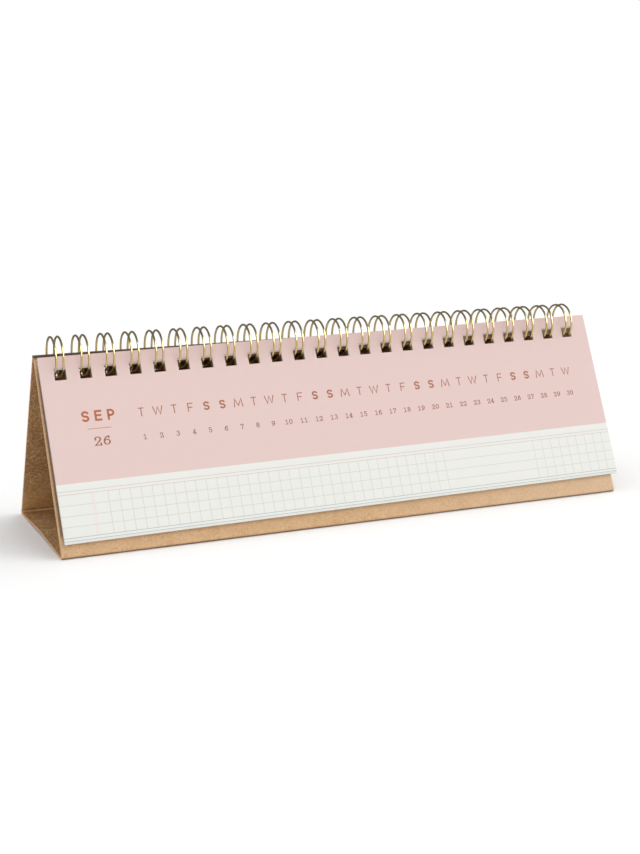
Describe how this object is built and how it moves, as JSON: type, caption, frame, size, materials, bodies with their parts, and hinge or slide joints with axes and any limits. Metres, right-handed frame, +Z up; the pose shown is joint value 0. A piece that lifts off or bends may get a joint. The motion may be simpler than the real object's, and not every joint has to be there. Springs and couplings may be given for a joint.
{
  "type": "spiral desk calendar",
  "caption": "Long desk calendar: punched leaves on a twin-loop wire, hung front and back on a folded board easel.",
  "frame": {"origin": "centre of the bounding box's bottom, on the table under the ridge", "axes": "+X along the ridge, towards the reader's right; -Y towards the reader, where the front leaves hang; +Z up"},
  "size_m": [0.3176, 0.0884, 0.1011],
  "materials": {
    "kraft_board": "uncoated brown kraft board with fine fibres",
    "pale_gold_wire": "steel wire with a glossy pale gold coat",
    "leaf_paper": "matte card, printed with a pink field and a ruled white band"
  },
  "bodies": {
    "easel": {"easel_stand": "kraft_board", "twin_loop_wire": "pale_gold_wire"},
    "front_stack": {"front_leaves": "leaf_paper"},
    "turned_stack": {"turned_leaves": "leaf_paper"}
  },
  "joints": [
    {"name": "front_leaves_turn", "type": "hinge", "parent": "easel", "child": "front_stack", "pos_m": [0, 0.0005, 0.09066], "axis": [-1, 0, 0], "range_deg": [0, 154.5]},
    {"name": "turned_leaves_turn", "type": "hinge", "parent": "easel", "child": "turned_stack", "pos_m": [0, 0.0005, 0.09066], "axis": [1, 0, 0], "range_deg": [0, 154.5]}
  ]
}
